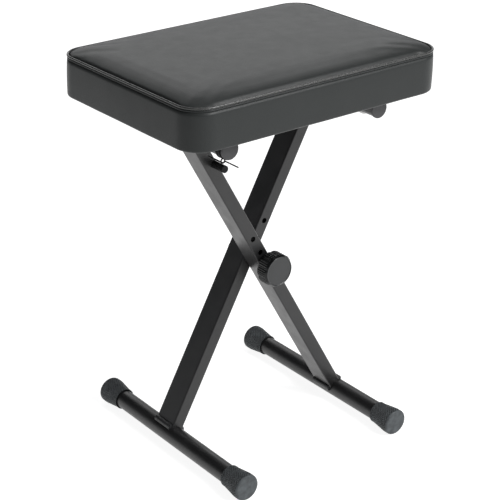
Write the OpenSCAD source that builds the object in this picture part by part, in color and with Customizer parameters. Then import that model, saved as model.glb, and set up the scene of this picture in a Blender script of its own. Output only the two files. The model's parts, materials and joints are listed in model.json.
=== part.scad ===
// Folding piano bench: two crossed legs on one pivot bolt, a hinged padded seat on top.
// X runs along the seat's length, Y along its width, Z up. Z = 0 is the floor.

/* [Seat] */
// Length of the seat
seat_length = 425; // [400:1:440]
// Width of the seat
seat_width = 317; // [300:1:330]
// Corner radius of the seat, seen from above
seat_corner = 36; // [30:1:40]
// Height of the seat's underside above the axis of the top tubes
seat_rise = 19.5; // [19:0.5:21]
// Height of the padded side wall, from the underside to the edge piping
wall_height = 56.5; // [50:0.5:60]
// Rise of the padded top above the edge piping
crown_height = 11; // [8:1:13]
// Thickness of the plywood board
board_thickness = 12; // [12:1:15]
// Thickness of the vinyl cover
vinyl_thickness = 1.2; // [1:0.1:1.5]
// Diameter of the piping round the top edge
piping_diameter = 5; // [4:0.5:6]

/* [Legs] */
// Angle between a leg and the floor
leg_angle = 60.86; // [60.7:0.01:61]
// Width of a leg tube, across the plane that the legs fold in
leg_width = 20; // [18:1:21]
// Depth of a leg tube, front to back
leg_depth = 40; // [36:1:40]
// Wall thickness of all the steel tubes
tube_wall = 1.5; // [1.2:0.1:1.8]
// Gap between the two legs at the pivot
leg_gap = 2; // [2:0.5:4]
// Distance from the foot tube to the pivot, along a leg
pivot_distance = 288; // [287:1:289]
// Distance from the foot tube to the top tube, along a leg
top_distance = 552.5; // [552:0.5:553]
// Spacing of the height holes in a leg
hole_spacing = 27.5; // [26:0.5:29]

/* [Cross tubes] */
// Outer diameter of a foot tube
foot_tube_diameter = 28.4; // [27:0.2:29]
// Overall length of a foot, with its caps
foot_length = 347; // [340:1:360]
// Outer diameter of a top tube
top_tube_diameter = 25; // [24:0.5:25]
// Overall length of a top tube, with its caps
top_length = 248; // [244:1:252]

/* [End caps] */
// Largest diameter of a rubber foot cap
foot_cap_diameter = 39.5; // [37:0.5:41]
// Length of a rubber foot cap
foot_cap_length = 40; // [36:1:42]
// Diameter of a top tube's end cap
top_cap_diameter = 27; // [26:0.5:28]
// Length of a top tube's end cap
top_cap_length = 3; // [2.5:0.5:4]

/* [Pivot and knob] */
// Diameter of the pivot bolt
bolt_diameter = 8; // [6:1:8]
// Diameter of the knob
knob_diameter = 50; // [48:1:54]
// Thickness of the knob
knob_thickness = 25; // [24:1:28]
// Number of grip lobes round the knob
knob_lobes = 10; // [8:1:12]

/* [Hidden] */
$fn = 64;
// Overlap that keeps a cut clean
cut = 1;
// Radial clearance of a pin in its hole or of a tube in its saddle
running_gap = 0.05;
// Gap between a tube's end and the inside of its cap
end_gap = 0.05;

foot_radius = foot_tube_diameter / 2;
foot_cap_radius = foot_cap_diameter / 2;
top_radius = top_tube_diameter / 2;
top_cap_radius = top_cap_diameter / 2;
// The foot caps stand on the floor, so the foot tubes lie one cap radius above it
foot_z = foot_cap_radius;
foot_x = pivot_distance * cos(leg_angle);
pivot_z = foot_z + pivot_distance * sin(leg_angle);
top_x = top_distance * cos(leg_angle) - foot_x;
top_z = foot_z + top_distance * sin(leg_angle);
// The front leg's back face and the back leg's front face stand this far from the middle
leg_inner_y = leg_gap / 2;
leg_outer_y = leg_inner_y + leg_depth;
leg_corner = 2;
// Thickness of an end cap past the end of its tube
foot_cap_wall = 6;
top_cap_wall = 2;
foot_tube_length = foot_length - 2 * foot_cap_wall;
top_tube_length = top_length - 2 * top_cap_wall;

// Padding, from the underside up
seat_underside = top_z + seat_rise;
board_bottom = seat_underside + vinyl_thickness;
board_top = board_bottom + board_thickness;
piping_z = seat_underside + wall_height;
// Width of the cover's hem, folded under the board
hem_width = 28;
// The crown rises in plates, each drawn in by one more step
crown_steps = 3;
crown_step = 6;
piping_radius = piping_diameter / 2;

// Seat brackets: front and back pairs on each top tube
bracket_y = 84;
bracket_width = 24;
flange_half_length = 30;
flange_thickness = 2.5;
strap_thickness = 2;
screw_offset = 23;
screw_radius = 2.5;
screw_head_radius = 4.6;
screw_head_height = 2.6;
screw_length = 14;
tee_barrel_radius = 3.4;
tee_flange_radius = 9;
tee_flange_thickness = 1.2;
tee_barrel_length = 9;

// Pivot bolt and what it carries
bolt_radius = bolt_diameter / 2;
bolt_hole_radius = bolt_radius + running_gap;
washer_radius = 10;
washer_thickness = 1.6;
bolt_head_radius = 7.5;
bolt_head_height = 2;
bolt_dome_radius = 5.5;
bolt_dome_height = 1;
knob_back_y = -leg_outer_y - washer_thickness - 0.2;
insert_radius = 7;
insert_length = 12;

// Grip peg on the front leg, below the top tube
peg_x = -93;
peg_z = foot_z + 429;
peg_length = 24;
peg_stud_radius = 2.5;
peg_sleeve_radius = 5.2;

// Wire catch round the free top tube, just behind its front cap
wire_radius = 0.8;
coil_turns = 3;
coil_pitch = 1.5;
coil_radius = top_radius + wire_radius + 0.3;
band_front_y = -top_length / 2 + top_cap_length + 0.4;
band_width = 5.5;
band_thickness = 1.4;
finger_length = 28;
tail_radius = 1.1;
tail_length = 30;

module rounded_plate(length, width, corner, height) {
    linear_extrude(height) rounded_outline(length, width, corner);
}

module rounded_outline(length, width, corner) {
    square([length - 2 * corner, width], center = true);
    square([length, width - 2 * corner], center = true);
    for (sx = [-1, 1], sy = [-1, 1])
        translate([sx * (length / 2 - corner), sy * (width / 2 - corner)]) circle(corner);
}

// Seat outline drawn in from its edge by a margin
module seat_plate(margin, height) {
    rounded_plate(seat_length - 2 * margin, seat_width - 2 * margin, seat_corner - margin, height);
}

// Places children at the four seat brackets' screws, on both sides of each top tube
module at_bracket_screws() {
    for (tube_side = [-1, 1], y = [-bracket_y, bracket_y], side = [-1, 1])
        translate([tube_side * top_x + side * screw_offset, y, 0]) children();
}

module seat_board() {
    color("burlywood") difference() {
        translate([0, 0, board_bottom]) seat_plate(vinyl_thickness + 1, board_thickness);
        at_bracket_screws() translate([0, 0, board_bottom - cut])
            cylinder(r = tee_barrel_radius, h = board_thickness + 2 * cut);
        at_bracket_screws() translate([0, 0, board_top - tee_flange_thickness])
            cylinder(r = tee_flange_radius, h = tee_flange_thickness + cut);
    }
}

// Stack of plates that makes the crown, from the board up, drawn in and down by a margin
module crown(margin) {
    for (i = [1:crown_steps]) translate([0, 0, board_top])
        seat_plate(i * crown_step + margin,
            piping_z - board_top + crown_height * sqrt(i / crown_steps) - margin);
}

module foam_pad() {
    foam_margin = vinyl_thickness + 1;
    color("khaki") {
        translate([0, 0, board_top]) seat_plate(foam_margin, piping_z - board_top - piping_radius);
        crown(vinyl_thickness + 0.4);
    }
}

// Vinyl shell: side wall, crowned top and the hem folded under the board
module seat_cover() {
    inner_margin = vinyl_thickness + 0.3;
    color("dimgray") difference() {
        union() {
            translate([0, 0, seat_underside]) seat_plate(0, piping_z - seat_underside);
            crown(0);
        }
        translate([0, 0, board_bottom])
            seat_plate(inner_margin, piping_z - piping_radius - board_bottom + 0.3);
        crown(vinyl_thickness);
        translate([0, 0, seat_underside - cut]) seat_plate(hem_width, 2 * cut + vinyl_thickness);
        piping_ring(piping_radius);
    }
}

// Cord of the given radius round the seat's top edge
module piping_ring(radius) {
    inset = piping_radius - 1;
    half_x = seat_length / 2 - seat_corner;
    half_y = seat_width / 2 - seat_corner;
    bend = seat_corner - inset;
    translate([0, 0, piping_z]) {
        for (side = [-1, 1]) {
            translate([-half_x, side * (half_y + bend), 0]) rotate([0, 90, 0])
                cylinder(r = radius, h = 2 * half_x);
            translate([side * (half_x + bend), half_y, 0]) rotate([90, 0, 0])
                cylinder(r = radius, h = 2 * half_y);
        }
        for (quarter = [0:3]) {
            sx = quarter == 0 || quarter == 3 ? 1 : -1;
            sy = quarter < 2 ? 1 : -1;
            translate([sx * half_x, sy * half_y, 0]) rotate(90 * quarter)
                rotate_extrude(angle = 90) translate([bend, 0]) circle(radius);
        }
    }
}

module edge_piping() {
    color("gray") piping_ring(piping_radius);
}

module dust_cover() {
    sheet = 0.6;
    color("black") difference() {
        translate([0, 0, board_bottom - sheet]) seat_plate(hem_width + 0.5, sheet);
        at_bracket_screws() translate([0, 0, seat_underside - cut]) cylinder(r = 4, h = 4 * cut);
        for (side = [-1, 1], y = [-bracket_y, bracket_y])
            translate([side * top_x, y, board_bottom - sheet])
                cube([2 * flange_half_length + 1, bracket_width + 1, 4 * sheet], center = true);
    }
}

// Wire staples through the hem, along all four sides
module cover_staples() {
    staple = [10, 1, 0.6];
    pitch = 38;
    line = hem_width / 2;
    color("silver") for (side = [-1, 1]) {
        for (i = [-4:4])
            translate([i * pitch, side * (seat_width / 2 - line), seat_underside - staple.z / 2])
                cube(staple, center = true);
        for (i = [-2:2])
            translate([side * (seat_length / 2 - line), i * pitch, seat_underside - staple.z / 2])
                cube([staple.y, staple.x, staple.z], center = true);
    }
}

// Places children at a bracket of the top tube on one side, with the tube's axis as the origin
module at_brackets(side) {
    for (y = [-bracket_y, bracket_y]) translate([side * top_x, y, top_z]) rotate([90, 0, 0])
        translate([0, 0, -bracket_width / 2]) children();
}

// Row of two screw holes through a bracket's flange, in the bracket's own upright plane
module flange_holes() {
    for (side = [-1, 1]) translate([side * screw_offset, seat_rise + cut, bracket_width / 2])
        rotate([90, 0, 0]) cylinder(r = screw_radius + 0.1, h = flange_thickness + 2 * cut);
}

module flange_bar(inner) {
    for (side = [-1, 1]) translate([side == 1 ? inner : -flange_half_length, seat_rise - flange_thickness, 0])
        cube([flange_half_length - inner, flange_thickness, bracket_width]);
}

// Plastic saddle that the hinged tube turns against, under the board
module hinge_saddles() {
    half = top_radius + running_gap;
    color("black") at_brackets(1) difference() {
        translate([-half, 2, 0]) cube([2 * half, seat_rise - 2, bracket_width]);
        translate([0, 0, -cut]) cylinder(r = half, h = bracket_width + 2 * cut);
    }
}

// Steel strap under the hinged tube, screwed to the board on both sides
module hinge_straps() {
    inner = top_radius + running_gap;
    outer = inner + strap_thickness;
    color("gray") at_brackets(1) difference() {
        union() {
            cylinder(r = outer, h = bracket_width);
            translate([-outer, 0, 0]) cube([2 * outer, seat_rise, bracket_width]);
            flange_bar(outer);
        }
        translate([0, 0, -cut]) cylinder(r = inner, h = bracket_width + 2 * cut);
        translate([-inner, 0, -cut]) cube([2 * inner, seat_rise + cut, bracket_width + 2 * cut]);
        flange_holes();
    }
}

// Open hook over the free tube: a long lip outside, a short one inside, and a clear way out
module hook_blocks() {
    bore = top_radius + running_gap;
    lip = 3.5;
    lip_drop = 9;
    inner_stop = 8;
    color("black") at_brackets(-1) difference() {
        union() {
            translate([-bore - lip, -lip_drop, 0])
                cube([2 * (bore + lip) - 1, seat_rise + lip_drop, bracket_width]);
            flange_bar(bore);
        }
        translate([0, 0, -cut]) cylinder(r = bore, h = bracket_width + 2 * cut);
        translate([-bore, -lip_drop - cut, -cut]) cube([3 * bore, lip_drop + cut, bracket_width + 2 * cut]);
        translate([0, -cut, -cut]) cube([2 * bore, inner_stop + cut, bracket_width + 2 * cut]);
        flange_holes();
    }
}

// Pan-head screws through the bracket flanges into the tee nuts
module bracket_screws() {
    head_z = seat_underside - flange_thickness;
    color("silver") at_bracket_screws() {
        translate([0, 0, head_z - screw_head_height]) cylinder(r = screw_head_radius, h = screw_head_height);
        translate([0, 0, head_z - 0.1]) cylinder(r = screw_radius, h = screw_length);
    }
}

module tee_nuts() {
    color("silver") at_bracket_screws() difference() {
        union() {
            translate([0, 0, board_top - tee_barrel_length])
                cylinder(r = tee_barrel_radius - 0.05, h = tee_barrel_length);
            translate([0, 0, board_top - tee_flange_thickness])
                cylinder(r = tee_flange_radius - 0.1, h = tee_flange_thickness);
        }
        translate([0, 0, board_top - tee_barrel_length - cut])
            cylinder(r = screw_radius + 0.05, h = tee_barrel_length + 2 * cut);
    }
}

// Frame of a leg: origin on the foot tube's axis, +Z up along the leg. side = 1 leans right.
module along_leg(side) {
    translate([-side * foot_x, 0, foot_z]) rotate([0, side * (90 - leg_angle), 0]) children();
}

// Rectangular tube coped onto the foot and top tubes, with three height holes
module leg_tube(side, y_middle) {
    along_leg(side) difference() {
        translate([0, y_middle, 0]) linear_extrude(top_distance) difference() {
            rounded_outline(leg_width, leg_depth, leg_corner);
            rounded_outline(leg_width - 2 * tube_wall, leg_depth - 2 * tube_wall, leg_corner / 2);
        }
        rotate([90, 0, 0]) cylinder(r = foot_radius, h = foot_length, center = true);
        translate([0, 0, top_distance]) rotate([90, 0, 0])
            cylinder(r = top_radius, h = top_length, center = true);
        for (i = [0:2]) translate([0, y_middle, pivot_distance + i * hole_spacing]) rotate([90, 0, 0])
            cylinder(r = bolt_hole_radius, h = leg_depth + 2 * cut, center = true);
    }
}

module leg_a_tube() {
    color("dimgray") leg_tube(1, leg_inner_y + leg_depth / 2);
}

module leg_b_tube() {
    color("dimgray") leg_tube(-1, -leg_inner_y - leg_depth / 2);
}

module cross_tube(x, z, radius, length) {
    translate([x, 0, z]) rotate([90, 0, 0]) difference() {
        cylinder(r = radius, h = length, center = true);
        cylinder(r = radius - tube_wall, h = length + 2 * cut, center = true);
    }
}

module foot_tube_a() {
    color("dimgray") cross_tube(-foot_x, foot_z, foot_radius, foot_tube_length);
}

module foot_tube_b() {
    color("dimgray") cross_tube(foot_x, foot_z, foot_radius, foot_tube_length);
}

module top_tube_a() {
    color("dimgray") cross_tube(top_x, top_z, top_radius, top_tube_length);
}

module top_tube_b() {
    color("dimgray") cross_tube(-top_x, top_z, top_radius, top_tube_length);
}

// Rubber cap, bell shaped from its lip to the rim, closed at the outer end
module foot_cap() {
    lip_radius = foot_radius + 2.2;
    lip_length = 5;
    mouth_gap = 1.3;
    mouth_depth = 3;
    rim = 3.5;
    bulb_end = 11;
    color("black") difference() {
        rotate_extrude() {
            polygon([[0, 0], [foot_cap_radius - rim, 0], [foot_cap_radius, rim],
                [foot_cap_radius, bulb_end], [lip_radius, foot_cap_length - lip_length],
                [lip_radius, foot_cap_length], [0, foot_cap_length]]);
            translate([foot_cap_radius - rim, rim]) circle(rim);
        }
        translate([0, 0, foot_cap_wall - end_gap])
            cylinder(r = foot_radius + 0.02, h = foot_cap_length);
        translate([0, 0, foot_cap_length - mouth_depth])
            cylinder(r = foot_radius + mouth_gap, h = mouth_depth + cut);
    }
}

// A pair of foot caps, one at each end of the foot tube at x
module foot_cap_pair(x) {
    for (turn = [0, 180]) translate([x, 0, foot_z]) rotate(turn) translate([0, -foot_length / 2, 0])
        rotate([-90, 0, 0]) foot_cap();
}

module foot_caps_a() {
    foot_cap_pair(-foot_x);
}

module foot_caps_b() {
    foot_cap_pair(foot_x);
}

// Thin plastic cap over a top tube's end
module top_cap() {
    rim = 0.8;
    color("gray") difference() {
        rotate_extrude() {
            polygon([[0, 0], [top_cap_radius - rim, 0], [top_cap_radius, rim],
                [top_cap_radius, top_cap_length], [0, top_cap_length]]);
            translate([top_cap_radius - rim, rim]) circle(rim);
        }
        translate([0, 0, top_cap_wall - end_gap])
            cylinder(r = top_radius + 0.02, h = top_cap_length);
    }
}

module top_cap_pair(x) {
    for (turn = [0, 180]) translate([x, 0, top_z]) rotate(turn) translate([0, -top_length / 2, 0])
        rotate([-90, 0, 0]) top_cap();
}

module top_caps_a() {
    top_cap_pair(top_x);
}

module top_caps_b() {
    top_cap_pair(-top_x);
}

// Fillet welds along both coped edges of a leg, at its foot and at its top
module leg_welds(side, y_middle) {
    color("dimgray") along_leg(side) {
        for (face = [-1, 1]) {
            weld_bead(face, y_middle, 0, foot_radius, 1);
            weld_bead(face, y_middle, top_distance, top_radius, -1);
        }
    }
}

// One bead in the corner between a leg's side face and a cross tube
module weld_bead(face, y_middle, tube_at, tube_radius, toward) {
    bead_radius = 5;
    reach = sqrt(tube_radius * tube_radius - leg_width * leg_width / 4);
    difference() {
        translate([face * leg_width / 2, y_middle, tube_at + toward * reach]) rotate([90, 0, 0])
            cylinder(r = bead_radius, h = leg_depth - 2 * leg_corner, center = true);
        translate([0, y_middle, tube_at]) rotate([90, 0, 0])
            cylinder(r = tube_radius, h = 2 * leg_depth, center = true);
        translate([0, y_middle, tube_at]) cube([leg_width, 2 * leg_depth, 4 * leg_width], center = true);
    }
}

module leg_a_welds() {
    leg_welds(1, leg_inner_y + leg_depth / 2);
}

module leg_b_welds() {
    leg_welds(-1, -leg_inner_y - leg_depth / 2);
}

// Everything on the pivot is turned about the axis that runs front to back
module on_pivot(y) {
    translate([0, y, pivot_z]) rotate([90, 0, 0]) children();
}

module ring(outer, inner, height) {
    difference() {
        cylinder(r = outer, h = height);
        translate([0, 0, -cut]) cylinder(r = inner, h = height + 2 * cut);
    }
}

// Low round-head bolt from the back, through both legs and into the knob's insert
module pivot_bolt() {
    head_back = leg_outer_y + bolt_head_height;
    color("silver") {
        on_pivot(head_back + bolt_dome_height) cylinder(r = bolt_dome_radius, h = bolt_dome_height + cut);
        on_pivot(head_back) cylinder(r = bolt_head_radius, h = bolt_head_height);
        on_pivot(leg_outer_y) cylinder(r = bolt_radius, h = leg_outer_y - knob_back_y + insert_length);
    }
}

module leg_spacer() {
    side_gap = 0.05;
    color("ivory") on_pivot(leg_inner_y - side_gap)
        ring(washer_radius, bolt_hole_radius, leg_gap - 2 * side_gap);
}

module front_washer() {
    color("silver") on_pivot(-leg_outer_y) ring(washer_radius, bolt_hole_radius, washer_thickness);
}

module knob_insert() {
    color("goldenrod") on_pivot(knob_back_y) ring(insert_radius, bolt_hole_radius, insert_length);
}

// Round knob with shallow grooves between its grip lobes, and a bore for its insert
module knob_grip() {
    collar_thickness = 4;
    collar_step = 5;
    rim = 3;
    groove_radius = 5;
    groove_depth = 1;
    radius = knob_diameter / 2;
    color("black") on_pivot(knob_back_y) difference() {
        rotate_extrude() polygon([[0, 0], [radius - collar_step, 0],
            [radius - collar_step, collar_thickness], [radius, collar_thickness],
            [radius, knob_thickness - rim], [radius - rim, knob_thickness], [0, knob_thickness]]);
        for (i = [0:knob_lobes - 1]) rotate((i + 0.5) * 360 / knob_lobes)
            translate([radius + groove_radius - groove_depth, 0, collar_thickness - cut])
                cylinder(r = groove_radius, h = knob_thickness);
        translate([0, 0, -cut]) cylinder(r = insert_radius + 0.02, h = insert_length + cut + 0.05);
        translate([0, 0, -cut]) cylinder(r = bolt_radius + 0.3, h = insert_length + 2 * cut);
    }
}

// Steel stud through the front leg's front wall, for the grip sleeve
module grip_stud() {
    stud_back = 3;
    color("silver") translate([peg_x, -leg_outer_y, peg_z]) rotate([90, 0, 0])
        cylinder(r = peg_stud_radius, h = peg_length - stud_back);
}

module grip_sleeve() {
    color("black") translate([peg_x, -leg_outer_y - 0.05, peg_z]) rotate([90, 0, 0]) difference() {
        cylinder(r = peg_sleeve_radius, h = peg_length);
        translate([0, 0, -cut]) cylinder(r = peg_stud_radius + 0.02, h = peg_length - 2);
    }
}

// Clip band and wire coil round the free tube; below them an eye, a thin finger to the front
// and a thicker tail to the back
module catch_spring() {
    eye_radius = 3;
    eye_offset = 6;
    eye_distance = coil_radius + eye_radius;
    eye_x = -top_x - eye_offset;
    eye_z = top_z - sqrt(eye_distance * eye_distance - eye_offset * eye_offset);
    wire_y = band_front_y + band_width - wire_radius;
    color("silver") {
        translate([-top_x, band_front_y, top_z]) rotate([-90, 0, 0]) rotate_extrude() {
            translate([coil_radius - wire_radius, 0]) square([band_thickness, band_width]);
            for (turn = [1:coil_turns])
                translate([coil_radius, band_width + (turn - 0.5) * coil_pitch]) circle(wire_radius);
        }
        translate([eye_x, wire_y, eye_z]) rotate([90, 0, 0]) rotate_extrude()
            translate([eye_radius, 0]) circle(wire_radius);
        translate([eye_x, wire_y + wire_radius / 2, eye_z - eye_radius]) rotate([90, 0, 0])
            cylinder(r = wire_radius - 0.1, h = finger_length);
        translate([eye_x, wire_y - wire_radius / 2, eye_z - eye_radius]) rotate([-90, 0, 0])
            cylinder(r = tail_radius, h = tail_length);
    }
}

seat_board();
foam_pad();
seat_cover();
edge_piping();
dust_cover();
cover_staples();
hinge_saddles();
hinge_straps();
hook_blocks();
bracket_screws();
tee_nuts();
leg_a_tube();
leg_b_tube();
foot_tube_a();
foot_tube_b();
top_tube_a();
top_tube_b();
foot_caps_a();
foot_caps_b();
top_caps_a();
top_caps_b();
leg_a_welds();
leg_b_welds();
pivot_bolt();
leg_spacer();
front_washer();
knob_insert();
knob_grip();
grip_stud();
grip_sleeve();
catch_spring();
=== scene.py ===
"""Folding piano bench: looks, soft parts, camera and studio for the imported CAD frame."""
import json
import math

import bmesh
import bpy
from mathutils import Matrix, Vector, noise


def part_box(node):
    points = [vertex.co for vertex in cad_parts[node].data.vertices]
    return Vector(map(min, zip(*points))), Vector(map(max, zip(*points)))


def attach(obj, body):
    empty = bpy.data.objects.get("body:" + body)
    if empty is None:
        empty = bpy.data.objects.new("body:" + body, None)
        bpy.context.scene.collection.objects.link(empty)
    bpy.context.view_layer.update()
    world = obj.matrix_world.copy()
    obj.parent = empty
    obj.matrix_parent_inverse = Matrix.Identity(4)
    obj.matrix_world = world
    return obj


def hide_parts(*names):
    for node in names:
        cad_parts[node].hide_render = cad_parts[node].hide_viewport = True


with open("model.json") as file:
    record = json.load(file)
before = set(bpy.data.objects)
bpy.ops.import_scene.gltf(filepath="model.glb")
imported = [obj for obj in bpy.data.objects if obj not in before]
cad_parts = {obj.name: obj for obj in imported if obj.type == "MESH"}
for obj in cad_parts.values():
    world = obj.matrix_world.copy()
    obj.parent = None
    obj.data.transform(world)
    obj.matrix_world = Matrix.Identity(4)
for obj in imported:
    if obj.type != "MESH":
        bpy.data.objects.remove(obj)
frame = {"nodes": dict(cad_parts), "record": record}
nodes = frame["nodes"]
scene = bpy.context.scene
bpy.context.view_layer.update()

MM = 0.001


# ---------------------------------------------------------------- camera and studio

CAMERA_AT = Vector((-1184.3, -1517.1, 1170.05)) * MM
CAMERA_LOOKS_AT = Vector((3.8, 5.2, 277.45)) * MM
CAMERA_LENS = 105.4


def add_camera():
    data = bpy.data.cameras.new("camera")
    data.lens = CAMERA_LENS
    data.sensor_width = 36
    data.clip_end = 50
    camera = bpy.data.objects.new("camera", data)
    scene.collection.objects.link(camera)
    camera.location = CAMERA_AT
    camera.rotation_mode = "QUATERNION"
    camera.rotation_quaternion = (CAMERA_LOOKS_AT - CAMERA_AT).to_track_quat("-Z", "Y")
    scene.camera = camera


def add_area_light(name, place, target, size, power):
    data = bpy.data.lights.new(name, "AREA")
    data.shape = "RECTANGLE"
    data.size, data.size_y = size
    data.energy = power
    lamp = bpy.data.objects.new(name, data)
    scene.collection.objects.link(lamp)
    lamp.location = place
    lamp.rotation_mode = "QUATERNION"
    lamp.rotation_quaternion = (Vector(target) - Vector(place)).to_track_quat("-Z", "Y")


def add_studio():
    """A wide white floor, a world that is pale at the horizon and dark above, and three soft boxes."""
    world = bpy.data.worlds.new("studio")
    world.use_nodes = True
    background = world.node_tree.nodes["Background"]
    background.inputs["Color"].default_value = (0.95, 0.97, 1, 1)
    tree = world.node_tree
    direction = tree.nodes.new("ShaderNodeTexCoord")
    split = tree.nodes.new("ShaderNodeSeparateXYZ")
    glow = tree.nodes.new("ShaderNodeMapRange")
    glow.inputs["From Min"].default_value = 0.08
    glow.inputs["From Max"].default_value = 0.26
    glow.inputs["To Min"].default_value = 0.55
    glow.inputs["To Max"].default_value = 0.06
    tree.links.new(direction.outputs["Generated"], split.inputs[0])
    tree.links.new(split.outputs["Z"], glow.inputs["Value"])
    tree.links.new(glow.outputs["Result"], background.inputs["Strength"])
    scene.world = world
    scene.view_settings.view_transform = "Standard"

    bm = bmesh.new()
    bmesh.ops.create_circle(bm, cap_ends=True, segments=96, radius=12)
    mesh = bpy.data.meshes.new("floor")
    bm.to_mesh(mesh)
    bm.free()
    floor = bpy.data.objects.new("floor", mesh)
    scene.collection.objects.link(floor)
    material = new_material("studio_floor")
    shader = material.node_tree.nodes["Principled BSDF"]
    shader.inputs["Base Color"].default_value = (0.4, 0.4, 0.4, 1)
    shader.inputs["Roughness"].default_value = 0.8
    shader.inputs["Emission Color"].default_value = (1, 1, 1, 1)
    shader.inputs["Emission Strength"].default_value = 0.9
    mesh.materials.append(material)

    add_area_light("softbox_back", (1.6, 2.6, 1.9), (0, 0, 0.4), (2.6, 1.4), 19)
    add_area_light("softbox_top", (0.4, -0.3, 2.8), (0, 0, 0.2), (2.4, 2.4), 15)
    add_area_light("softbox_front", (1.1, -2.4, 2.5), (0.1, -0.3, 0.3), (1.8, 1.4), 118)


# ---------------------------------------------------------------- materials


def new_material(name):
    material = bpy.data.materials.new(name)
    material.use_nodes = True
    return material


class Surface:
    """Short calls for building one procedural material in object space."""

    def __init__(self, name, base, roughness, metallic=0.0, sheen=0.0, specular=0.5):
        self.material = new_material(name)
        self.tree = self.material.node_tree
        self.shader = self.tree.nodes["Principled BSDF"]
        self.coords = self.add("ShaderNodeTexCoord").outputs["Object"]
        self.set("Base Color", (*base, 1))
        self.set("Roughness", roughness)
        self.set("Metallic", metallic)
        self.set("Sheen Weight", sheen)
        self.set("Specular IOR Level", specular)
        self.base = base
        self.roughness = roughness
        self.height = None

    def set(self, socket, value):
        self.shader.inputs[socket].default_value = value

    def add(self, kind, **values):
        node = self.tree.nodes.new(kind)
        for key, value in values.items():
            setattr(node, key, value)
        return node

    def link(self, source, target):
        self.tree.links.new(source, target)

    def noise(self, scale, detail=3.0, roughness=0.5, stretch=None):
        node = self.add("ShaderNodeTexNoise")
        node.inputs["Scale"].default_value = scale
        node.inputs["Detail"].default_value = detail
        node.inputs["Roughness"].default_value = roughness
        self.link(self.stretched(stretch), node.inputs["Vector"])
        return node.outputs["Fac"]

    def cells(self, scale):
        node = self.add("ShaderNodeTexVoronoi")
        node.inputs["Scale"].default_value = scale
        self.link(self.coords, node.inputs["Vector"])
        return node.outputs["Distance"]

    def stretched(self, stretch):
        if stretch is None:
            return self.coords
        node = self.add("ShaderNodeMapping")
        node.inputs["Scale"].default_value = stretch
        self.link(self.coords, node.inputs["Vector"])
        return node.outputs["Vector"]

    def ramp(self, source, low, high, at=(0.3, 0.7)):
        """Spreads a pattern between two values."""
        node = self.add("ShaderNodeMapRange")
        node.inputs["From Min"].default_value = at[0]
        node.inputs["From Max"].default_value = at[1]
        node.inputs["To Min"].default_value = low
        node.inputs["To Max"].default_value = high
        self.link(source, node.inputs["Value"])
        return node.outputs["Result"]

    def math(self, operation, a, b=None):
        node = self.add("ShaderNodeMath", operation=operation)
        for value, socket in ((a, node.inputs[0]), (b, node.inputs[1])):
            if value is None:
                continue
            if isinstance(value, (int, float)):
                socket.default_value = value
            else:
                self.link(value, socket)
        return node.outputs[0]

    def vary_roughness(self, source, spread, at=(0.3, 0.7)):
        low, high = max(self.roughness - spread, 0.05), min(self.roughness + spread, 1)
        self.link(self.ramp(source, low, high, at), self.shader.inputs["Roughness"])

    def vary_colour(self, source, other, at=(0.35, 0.65)):
        """Drifts from the base colour to another one along a pattern."""
        node = self.add("ShaderNodeMix", data_type="RGBA")
        colours = [s for s in node.inputs if s.type == "RGBA"]
        colours[0].default_value = (*self.base, 1)
        colours[1].default_value = (*other, 1)
        self.link(self.ramp(source, 0, 1, at), node.inputs["Factor"])
        result = [s for s in node.outputs if s.type == "RGBA"][0]
        self.link(result, self.shader.inputs["Base Color"])

    def bump(self, source, distance, strength=1.0):
        """Adds one more layer of relief, in metres."""
        node = self.add("ShaderNodeBump")
        node.inputs["Distance"].default_value = distance
        node.inputs["Strength"].default_value = strength
        self.link(source, node.inputs["Height"])
        if self.height is not None:
            self.link(self.height, node.inputs["Normal"])
        self.height = node.outputs["Normal"]
        self.link(self.height, self.shader.inputs["Normal"])

    def turned_from(self, centre, axis):
        """Angle, 0 to 1 round an axis along X, Y or Z through centre, and the distance along it."""
        shift = self.add("ShaderNodeVectorMath", operation="SUBTRACT")
        shift.inputs[1].default_value = centre
        self.link(self.coords, shift.inputs[0])
        split = self.add("ShaderNodeSeparateXYZ")
        self.link(shift.outputs["Vector"], split.inputs[0])
        across = [name for name in "XYZ" if name != axis]
        angle = self.math("ARCTAN2", split.outputs[across[1]], split.outputs[across[0]])
        return self.math("DIVIDE", angle, 2 * math.pi), split.outputs[axis]


def vinyl(name="vinyl", base=(0.0255, 0.0278, 0.0275), roughness=0.4, specular=0.2):
    surface = Surface(name, base, roughness, specular=specular)
    broad = surface.noise(9, 2)
    surface.vary_colour(broad, tuple(c * 0.93 for c in base))
    surface.vary_roughness(surface.noise(60, 3), 0.02)
    surface.bump(surface.noise(28, 2), 0.0004, 0.15)
    surface.bump(surface.cells(620), 0.0002, 0.4)
    surface.bump(surface.noise(1500, 2), 0.00008, 0.5)
    return surface.material


def black_paint():
    surface = Surface("black_paint", (0.009, 0.0092, 0.0098), 0.34, specular=0.5)
    surface.vary_roughness(surface.noise(45, 3), 0.05)
    surface.vary_colour(surface.noise(14, 2), (0.012, 0.0118, 0.012))
    surface.bump(surface.noise(900, 2), 0.00012, 0.45)
    surface.bump(surface.noise(120, 2), 0.0001, 0.3)
    return surface.material


def weld_paint():
    surface = Surface("weld_paint", (0.014, 0.0145, 0.0155), 0.4)
    ripple = surface.noise(420, 2, stretch=(0.3, 1.0, 0.3))
    surface.vary_roughness(surface.noise(60, 3), 0.06)
    surface.bump(ripple, 0.0008, 0.8)
    return surface.material


def rubber(name="foot_rubber", base=(0.055, 0.06, 0.062), roughness=0.62, specular=0.4):
    surface = Surface(name, base, roughness, specular=specular)
    surface.vary_roughness(surface.noise(70, 4), 0.08)
    surface.vary_colour(surface.noise(110, 3), tuple(c * 1.7 for c in base), (0.4, 0.6))
    surface.bump(surface.noise(700, 3), 0.00015, 0.6)
    return surface


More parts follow.
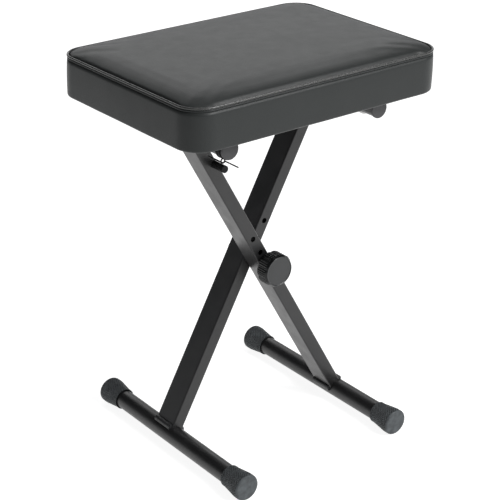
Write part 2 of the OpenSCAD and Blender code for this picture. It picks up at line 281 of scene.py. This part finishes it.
def knurled_rubber(name, base, node, pitch, depth, flat_from, specular=0.4):
    """Rubber with a crossed knurl round its node's Y axis, left smooth past flat_from."""
    low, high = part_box(node)
    middle = (low + high) / 2
    surface = rubber(name, base, specular=specular)
    turn, along = surface.turned_from(middle, "Y")
    round_count = round(math.pi * (high.z - low.z) / pitch)
    around = surface.math("MULTIPLY", turn, 2 * math.pi * round_count)
    down = surface.math("MULTIPLY", along, 2 * math.pi / pitch)
    first = surface.math("SINE", surface.math("ADD", around, down))
    second = surface.math("SINE", surface.math("SUBTRACT", around, down))
    knurl = surface.math("MAXIMUM", first, second)
    side = surface.math("LESS_THAN", surface.math("ABSOLUTE", along), flat_from)
    pattern = surface.math("MULTIPLY", knurl, side)
    # The colour drifts lighter on the knurl ridges and in noise patches.
    ridge_share, lighter_scale = 0.16, 2.2
    ridge_and_noise_mix = surface.math("ADD", surface.noise(110, 3), surface.math("MULTIPLY", pattern, ridge_share))
    surface.vary_colour(ridge_and_noise_mix, tuple(c * lighter_scale for c in base), (0.3, 0.75))
    surface.bump(pattern, depth, 1.0)
    return surface.material


def moulded_plastic(name, base, roughness=0.5, specular=0.5):
    surface = Surface(name, base, roughness, specular=specular)
    surface.vary_roughness(surface.noise(90, 3), 0.06)
    surface.vary_colour(surface.noise(25, 2), tuple(c * 1.2 for c in base))
    surface.bump(surface.noise(1400, 2), 0.00008, 0.6)
    return surface.material


def zinc(name="zinc_steel", base=(0.5, 0.5, 0.49), roughness=0.34):
    surface = Surface(name, base, roughness, metallic=1.0)
    surface.vary_roughness(surface.cells(160), 0.08, (0.1, 0.8))
    surface.vary_colour(surface.noise(80, 3), tuple(c * 0.82 for c in base))
    surface.bump(surface.noise(600, 2), 0.00006, 0.4)
    return surface.material


def brass():
    surface = Surface("insert_brass", (0.62, 0.46, 0.2), 0.3, metallic=1.0)
    surface.vary_roughness(surface.noise(200, 3), 0.06)
    surface.vary_colour(surface.noise(60, 2), (0.5, 0.36, 0.15))
    return surface.material


def plywood():
    surface = Surface("plywood", (0.42, 0.28, 0.15), 0.65, specular=0.35)
    grain = surface.noise(6, 5, 0.6, stretch=(4, 40, 60))
    surface.vary_colour(grain, (0.29, 0.18, 0.09))
    surface.vary_roughness(grain, 0.08)
    surface.bump(grain, 0.0003, 0.4)
    return surface.material


def dust_cloth():
    surface = Surface("dust_cloth", (0.013, 0.013, 0.014), 0.9, sheen=0.15, specular=0.2)
    fibres = surface.noise(900, 3, 0.7)
    surface.vary_colour(surface.noise(40, 2), (0.02, 0.02, 0.021))
    surface.vary_roughness(fibres, 0.06)
    surface.bump(fibres, 0.0003, 0.8)
    return surface.material


def paint(node, material):
    slots = nodes[node].data.materials
    slots.clear()
    slots.append(material)


def paint_nodes():
    """Gives every CAD node the finish of its slot."""
    finishes = {
        "black_paint": black_paint(),
        "foot_rubber": rubber().material,
        "cap_plastic": moulded_plastic("cap_plastic", (0.042, 0.042, 0.044), 0.5, 0.4),
        "knob_plastic": moulded_plastic("knob_plastic", (0.0035, 0.004, 0.0042), 0.3, 0.3),
        "black_nylon": moulded_plastic("black_nylon", (0.014, 0.014, 0.014), 0.5),
        "zinc_steel": zinc(),
        "spring_steel": moulded_plastic("spring_black", (0.003, 0.003, 0.0032), 0.5, 0.08),
        "insert_brass": brass(),
        "plywood": plywood(),
        "dust_cloth": dust_cloth(),
        "vinyl": vinyl(),
        # The piping's base is lighter than the seat vinyl's: painted highlight along the piping lines.
        "vinyl_piping": vinyl("vinyl_piping", (0.035, 0.036, 0.035), 0.27, 0.5),
        "foam": rubber("foam", (0.5, 0.43, 0.24), 0.95).material,
    }
    for part in frame["record"]["subparts"]:
        paint(part["node"], finishes[part["material_slot"]])
    welds = weld_paint()
    for name in ("leg_a_welds", "leg_b_welds"):
        paint(name, welds)
    cap_low, cap_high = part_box("foot_caps_a")
    cap_smooth_end = 2.5 * MM
    cap_face = (cap_high.y - cap_low.y) / 2 - cap_smooth_end
    for name in ("foot_caps_a", "foot_caps_b"):
        paint(name, knurled_rubber(name + "_rubber", (0.036, 0.0405, 0.0435), name,
                                   pitch=4.2 * MM, depth=1.6 * MM, flat_from=cap_face))
    peg_low, peg_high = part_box("grip_sleeve")
    peg_smooth_end = 0.3 * MM
    peg_face = (peg_high.y - peg_low.y) / 2 - peg_smooth_end
    paint("grip_sleeve", knurled_rubber("sleeve_rubber", (0.007, 0.0075, 0.008), "grip_sleeve",
                                        pitch=3.2 * MM, depth=1.6 * MM, flat_from=peg_face,
                                        specular=0.15))
    return finishes


# ---------------------------------------------------------------- mesh helpers


def add_piece(name, bm, material, body):
    bmesh.ops.recalc_face_normals(bm, faces=bm.faces)
    mesh = bpy.data.meshes.new(name)
    bm.to_mesh(mesh)
    bm.free()
    mesh.shade_smooth()
    mesh.materials.append(material)
    piece = bpy.data.objects.new(name, mesh)
    scene.collection.objects.link(piece)
    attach(piece, body)
    return piece


def loft(bm, rings):
    """Skins a list of closed point rings of the same length."""
    made = [[bm.verts.new(p) for p in ring] for ring in rings]
    count = len(rings[0])
    for a, b in zip(made, made[1:]):
        for i in range(count):
            j = (i + 1) % count
            bm.faces.new((a[i], a[j], b[j], b[i]))
    return made


seat_low, seat_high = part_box("seat_cover")
SEAT_LENGTH = seat_high.x - seat_low.x
SEAT_WIDTH = seat_high.y - seat_low.y
SEAT_CORNER = 36 * MM
SEAT_BOTTOM = seat_low.z
piping_low, piping_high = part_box("edge_piping")
PIPING_Z = (piping_low.z + piping_high.z) / 2
LONG_STEPS, SHORT_STEPS, CORNER_STEPS = 72, 54, 16
SMALLEST_CORNER = 2 * MM
WANDERS_PER_METRE = 18


def seat_outline(inset):
    """(point, outward direction) pairs round the seat, drawn in from its edge by inset."""
    corner = max(SEAT_CORNER - inset, SMALLEST_CORNER)
    core_x = SEAT_LENGTH / 2 - inset - corner
    core_y = SEAT_WIDTH / 2 - inset - corner
    points = []
    corners = ((1, 1), (-1, 1), (-1, -1), (1, -1))
    for quarter, (sx, sy) in enumerate(corners):
        centre = Vector((sx * core_x, sy * core_y, 0))
        for i in range(CORNER_STEPS + 1):
            angle = math.pi / 2 * (quarter + i / CORNER_STEPS)
            out = Vector((math.cos(angle), math.sin(angle), 0))
            points.append((centre + out * corner, out))
        steps = LONG_STEPS if quarter % 2 == 0 else SHORT_STEPS
        here, out = points[-1]
        next_x, next_y = corners[(quarter + 1) % 4]
        there = Vector((next_x * core_x, next_y * core_y, 0)) + out * corner
        for i in range(1, steps):
            points.append((here.lerp(there, i / steps), out))
    return points


def seat_ring(inset, height, wander=0.0):
    """One ring of the seat at a height, with a slight soft wander in and out."""
    ring = []
    for point, out in seat_outline(inset):
        p = Vector((point.x, point.y, height))
        if wander:
            p += out * (noise.noise(p * WANDERS_PER_METRE) * wander)
        ring.append(p)
    return ring


# ---------------------------------------------------------------- seat


def lean(piece):
    """Leans a piece's top on its board: a little to the right, and most at the right rear."""
    left_lean, right_lean, rear_extra = 1.5 * MM, 2 * MM, 5 * MM
    for vertex in piece.data.vertices:
        p = vertex.co
        up = min(max((p.z - SEAT_BOTTOM) / (PIPING_Z - SEAT_BOTTOM), 0), 1)
        across = p.x / (SEAT_LENGTH / 2)
        if across < 0:
            p.x += up * -across * left_lean
        else:
            p.x += up * across * (right_lean + rear_extra * (p.y / SEAT_WIDTH + 0.5))


def arc(centre_inset, centre_z, radius, start, end, steps):
    """(inset, height) points on an arc; 0 degrees points outward, 90 up."""
    points = []
    for i in range(steps + 1):
        angle = math.radians(start + (end - start) * i / steps)
        points.append((centre_inset - radius * math.cos(angle), centre_z + radius * math.sin(angle)))
    return points


def build_side_band(material):
    """Vinyl round the side: hem, rolled lower edge, wall, and the sewn fold below the piping."""
    roll = 3.5 * MM
    hem, hem_thickness = 28 * MM, 1.1 * MM
    bow, draw_in, wander = 0.5 * MM, 0.8 * MM, 0.5 * MM
    ridge_inset, ridge_rise, ridge_radius = 2.3 * MM, 1.75 * MM, 1.35 * MM
    wall_steps = 9
    profile = [(hem, SEAT_BOTTOM + hem_thickness), (hem, SEAT_BOTTOM)]
    profile += [(hem * k, SEAT_BOTTOM) for k in (0.8, 0.6, 0.4)]
    profile += arc(roll, SEAT_BOTTOM + roll, roll, -90, 0, 8)
    wall_top = PIPING_Z - 4.4 * MM
    for i in range(1, wall_steps):
        along = i / wall_steps
        height = SEAT_BOTTOM + roll + (wall_top - SEAT_BOTTOM - roll) * along
        profile.append((-bow * math.sin(math.pi * along) + draw_in * along, height))
    profile += [(1.1 * MM, wall_top), (2.2 * MM, wall_top + 0.1 * MM), (3.0 * MM, wall_top + 0.35 * MM)]
    profile += arc(ridge_inset, wall_top + ridge_rise, ridge_radius, -65, 75, 8)
    profile += [(3.0 * MM, PIPING_Z - 1.5 * MM), (4 * MM, PIPING_Z - 4 * MM)]
    bm = bmesh.new()
    loft(bm, [seat_ring(inset, height, wander) for inset, height in profile])
    band = add_piece("seat_side_band", bm, material, "seat")
    lean(band)
    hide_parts("seat_cover")


def build_piping(material):
    radius = 1.7 * MM
    inset = 2.1 * MM
    height = PIPING_Z + 0.6 * MM
    bm = bmesh.new()
    spine = seat_outline(inset)
    turns = 12
    rings = []
    for i in range(turns):
        angle = 2 * math.pi * i / turns
        ring = []
        for point, out in spine:
            lift = Vector((0, 0, height + radius * math.sin(angle)))
            ring.append(point + out * radius * math.cos(angle) + lift)
        rings.append(ring)
    rings.append(rings[0])
    loft(bm, rings)
    same_point = 1e-6
    bmesh.ops.remove_doubles(bm, verts=bm.verts, dist=same_point)
    piping = add_piece("seat_piping", bm, material, "seat")
    lean(piping)
    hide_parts("edge_piping")


# (distance in from the seat's edge, rise of the top panel above the piping's middle), in mm
CROWN = ((3.0, 0.3), (4.6, 2.0), (6, 3.1), (8, 4.3), (12, 5.8), (17, 7.2), (25, 8.7), (40, 10.0),
         (70, 11.0), (170, 11.6))
BLANK_POINTS = 7


def crown_rise(inset):
    """Height above the piping's middle, read from the CROWN points."""
    for (near, low), (far, high) in zip(CROWN, CROWN[1:]):
        if inset <= far * MM:
            along = max((inset - near * MM) / ((far - near) * MM), 0)
            return (low + (high - low) * along) * MM
    return CROWN[-1][1] * MM


def corner_ease(point):
    """1 along the sides, less where two sides meet: a cushion is lower at its corners."""
    reach = 24 * MM
    from_end = max(SEAT_LENGTH / 2 - abs(point.x), 0)
    from_side = max(SEAT_WIDTH / 2 - abs(point.y), 0)
    lowest = 0.5
    return 1 - lowest * math.exp(-((from_end + from_side) / (2 * reach)) ** 2)


def inset_of(point):
    """Distance of a point in from the seat's edge, seen from above."""
    over_x = abs(point.x) - (SEAT_LENGTH / 2 - SEAT_CORNER)
    over_y = abs(point.y) - (SEAT_WIDTH / 2 - SEAT_CORNER)
    past = math.hypot(max(over_x, 0), max(over_y, 0))
    return SEAT_CORNER - past - min(max(over_x, over_y), 0)


def pad_blank():
    """Closed slab that the pad is blown up from: square sides under a crowned top."""
    depth = 18 * MM
    low = PIPING_Z - depth
    edge = CROWN[0][0] * MM
    profile = [(edge + 8 * MM, low), (edge + 2 * MM, low + 1 * MM), (edge, low + 4 * MM)]
    profile += [(edge, PIPING_Z - 6 * MM)]
    profile += [(inset * MM, PIPING_Z + rise * MM) for inset, rise in CROWN[:BLANK_POINTS]]
    bm = bmesh.new()
    made = loft(bm, [seat_ring(inset, height) for inset, height in profile])
    bm.faces.new(made[0])
    bm.faces.new(made[-1])
    return bm


def settle(piece, modifier_name):
    """Applies one modifier by taking the evaluated mesh."""
    graph = bpy.context.evaluated_depsgraph_get()
    mesh = bpy.data.meshes.new_from_object(piece.evaluated_get(graph))
    piece.modifiers.remove(piece.modifiers[modifier_name])
    old = piece.data
    piece.data = mesh
    bpy.data.meshes.remove(old)


def build_pad(material):
    """Foam pad under the top panel: remeshed, blown up as cloth under pressure and smoothed."""
    pad = add_piece("seat_top_panel", pad_blank(), material, "seat")
    remesh = pad.modifiers.new("remesh", "REMESH")
    remesh.mode = "VOXEL"
    remesh.voxel_size = 4 * MM
    settle(pad, "remesh")
    relax = pad.modifiers.new("relax", "SMOOTH")
    relax.iterations = 4
    settle(pad, "relax")
    blow_up(pad)
    draw_to_crown(pad)
    lean(pad)
    pad.data.shade_smooth()
    pad.data.materials.clear()
    pad.data.materials.append(material)
    subdivide = pad.modifiers.new("subdivide", "SUBSURF")
    subdivide.levels = 1
    subdivide.render_levels = 1
    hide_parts("foam_pad", "seat_cover")


def draw_to_crown(pad):
    """Draws the top to the height that its stitching and foam allow, keeping a little of the cloth."""
    kept = 0.15
    side_top = PIPING_Z - 2 * MM
    for vertex in pad.data.vertices:
        if vertex.co.z < side_top:
            continue
        aim = PIPING_Z + crown_rise(inset_of(vertex.co)) * corner_ease(vertex.co)
        vertex.co.z = aim + (vertex.co.z - aim) * kept


def blow_up(pad):
    """Cloth with pressure for a few frames, each point held within a short way of its start."""
    reach = 5 * MM
    last_frame = 20
    start = [v.co.copy() for v in pad.data.vertices]
    rim = pad.vertex_groups.new(name="held")
    held = [i for i, p in enumerate(start) if p.z < PIPING_Z - 1 * MM]
    rim.add(held, 1.0, "REPLACE")
    cloth = pad.modifiers.new("cloth", "CLOTH")
    settings = cloth.settings
    settings.quality = 5
    settings.mass = 0.3
    settings.tension_stiffness = 12
    settings.compression_stiffness = 12
    settings.shear_stiffness = 6
    settings.bending_stiffness = 2
    settings.use_pressure = True
    settings.uniform_pressure_force = 4
    settings.vertex_group_mass = "held"
    settings.effector_weights.gravity = 0
    cloth.point_cache.frame_start = 1
    cloth.point_cache.frame_end = last_frame
    for number in range(1, last_frame + 1):
        scene.frame_set(number)
    settle(pad, "cloth")
    scene.frame_set(1)
    for vertex, origin in zip(pad.data.vertices, start):
        move = vertex.co - origin
        if move.length > reach:
            vertex.co = origin + move * (reach / move.length)


# ---------------------------------------------------------------- knob


def build_knob(material, lit_face_material):
    """Moulded knob: collar, grip with lobes and fine flutes, a rolled rim and a shallow dish."""
    low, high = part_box("knob_grip")
    centre = (low + high) / 2
    radius = (high.z - low.z) / 2
    thickness = high.y - low.y
    lobes, flutes = 10, 50
    steps_per_flute = 8
    steps = flutes * steps_per_flute
    flute_depth = 0.7 * MM
    lobe_depth = 1.0 * MM
    # (radius, distance from the back, how far the lobes show, how far the flutes show)
    profile = [(7.1, 0, 0, 0), (20.6, 0, 0, 0), (21, 0.4, 0, 0), (21, 3.4, 0, 0), (21.6, 4.0, 0, 0)]
    profile = [(r * MM, t * MM, lobe, flute) for r, t, lobe, flute in profile]
    wall = [(-1.2, 4.0, 1, 0), (-0.3, 4.5, 1, 0.4), (0, 5.4, 1, 1), (0, 9, 1, 1), (0, 13, 1, 1),
            (0, 17, 1, 1)]
    profile += [(radius + r * MM, t * MM, lobe, flute) for r, t, lobe, flute in wall]
    rim = [(0, -4.4, 1, 1), (-0.3, -3.6, 1, 0.4), (-0.9, -2.9, 0.8, 0), (-2.2, -1.1, 0.3, 0),
           (-2.5, -0.4, 0.2, 0), (-3.0, 0, 0, 0), (-3.6, -0.1, 0, 0), (-4.1, -0.8, 0, 0),
           (-4.7, -1.0, 0, 0), (-5.6, -1.0, 0, 0)]
    profile += [(radius + r * MM, thickness + t * MM, lobe, flute) for r, t, lobe, flute in rim]
    dish = 1.0 * MM
    profile += [(r * MM, thickness - dish, 0, 0) for r in (14, 8, 3, 0.4)]
    rings = []
    for ring_radius, away, lobe, flute in profile:
        ring = []
        for i in range(steps):
            angle = 2 * math.pi * i / steps
            dip = (0.5 - 0.5 * math.cos(lobes * angle)) ** 3 * lobe_depth * lobe
            dip += (0.5 - 0.5 * math.cos(flutes * angle)) * flute_depth * flute
            r = ring_radius - dip
            ring.append((centre.x + r * math.cos(angle), high.y - away, centre.z + r * math.sin(angle)))
        rings.append(ring)
    bm = bmesh.new()
    made = loft(bm, rings)
    bm.faces.new(made[-1])
    knob = add_piece("knob_body", bm, material, "knob")
    knob.data.materials.append(lit_face_material)
    face_depth, rim_width = 2 * MM, 2.6 * MM
    face_from = high.y - thickness + face_depth
    face_radius = radius - rim_width
    # The dish inside the rim takes the second material, a lighter copy of the knob plastic: painted
    # light on the face.
    for polygon in knob.data.polygons:
        off_axis = math.hypot(polygon.center.x - centre.x, polygon.center.z - centre.z)
        if polygon.center.y < face_from and off_axis < face_radius:
            polygon.material_index = 1
    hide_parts("knob_grip")


# ---------------------------------------------------------------- wire catch


def sweep(bm, path, radius, sides=10):
    """Round wire along a path of points, closed at both ends."""
    rings = []
    side = None
    for i, point in enumerate(path):
        ahead = (path[min(i + 1, len(path) - 1)] - path[max(i - 1, 0)]).normalized()
        if side is None:
            side = ahead.orthogonal().normalized()
        side = (side - ahead * side.dot(ahead)).normalized()
        up = ahead.cross(side)
        ring = []
        for k in range(sides):
            angle = 2 * math.pi * k / sides
            ring.append(point + (side * math.cos(angle) + up * math.sin(angle)) * radius)
        rings.append(ring)
    made = loft(bm, rings)
    bm.faces.new(made[0])
    bm.faces.new(made[-1])


def build_catch(material):
    """Clip band and wire coil on the free tube, an eye under it, a thin finger and a thick tail."""
    tube_low, tube_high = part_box("top_tube_b")
    low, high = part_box("catch_spring")
    centre_x = (tube_low.x + tube_high.x) / 2
    centre_z = (tube_low.z + tube_high.z) / 2
    wire = 0.8 * MM
    coil_radius = (high.z - centre_z) - wire
    finger_radius = wire * 1.15
    finger_length = 28 * MM
    band_width = 5.5 * MM
    band_front = low.y + finger_length - band_width + wire / 2
    band_steps = 64
    coil_turns, coil_pitch = 3, 1.5 * MM
    turn_steps = 40
    tail_length, tail_radius, tail_steps = 30 * MM, 1.1 * MM, 6
    bm = bmesh.new()
    band = []
    # (out from the coil's radius, back from the band's front), in mm
    section = ((-0.8, 0.5), (0.3, 0), (0.8, 0.4), (0.8, 5.1), (0.3, 5.5), (-0.8, 5.0), (-0.8, 0.5))
    for out, along in section:
        ring = []
        for i in range(band_steps):
            angle = 2 * math.pi * i / band_steps
            r = coil_radius + out * MM
            ring.append((centre_x + r * math.cos(angle), band_front + along * MM,
                         centre_z + r * math.sin(angle)))
        band.append(ring)
    loft(bm, band)
    coil = []
    for i in range(coil_turns * turn_steps + 1):
        angle = 2 * math.pi * i / turn_steps
        y = band_front + band_width + wire + coil_pitch * i / turn_steps
        coil.append(Vector((centre_x + coil_radius * math.cos(angle), y,
                            centre_z + coil_radius * math.sin(angle))))
    sweep(bm, coil, wire)
    eye_radius = 3 * MM
    eye_offset = 6 * MM
    eye_drop = math.sqrt((coil_radius + eye_radius) ** 2 - eye_offset ** 2)
    eye = Vector((centre_x - eye_offset, band_front + band_width - wire, centre_z - eye_drop))
    loop = []
    loop_steps = 48
    for i in range(loop_steps + 1):
        angle = -math.pi / 2 + 2 * math.pi * i / turn_steps
        y = eye.y + wire * (0.5 - i / loop_steps)
        loop.append(Vector((eye.x + eye_radius * math.cos(angle), y,
                            eye.z + eye_radius * math.sin(angle))))
    sweep(bm, loop, finger_radius)
    sweep(bm, [loop[-1], loop[-1] + Vector((0, -finger_length, 0))], finger_radius)
    start = Vector((eye.x, eye.y + wire, eye.z - eye_radius))
    tail = [start + Vector((0, tail_length * k / tail_steps, 0)) for k in range(tail_steps + 1)]
    sweep(bm, tail, tail_radius)
    catch = add_piece("wire_catch", bm, material, "catch")
    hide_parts("catch_spring")


add_camera()
finishes = paint_nodes()
add_studio()
build_side_band(finishes["vinyl"])
build_piping(finishes["vinyl_piping"])
build_pad(finishes["vinyl"])
# The knob's face takes a lighter copy of the knob plastic: painted light, not a second plastic.
build_knob(finishes["knob_plastic"], moulded_plastic("knob_face_painted_light", (0.0155, 0.0165, 0.0172), 0.36))
build_catch(finishes["spring_steel"])
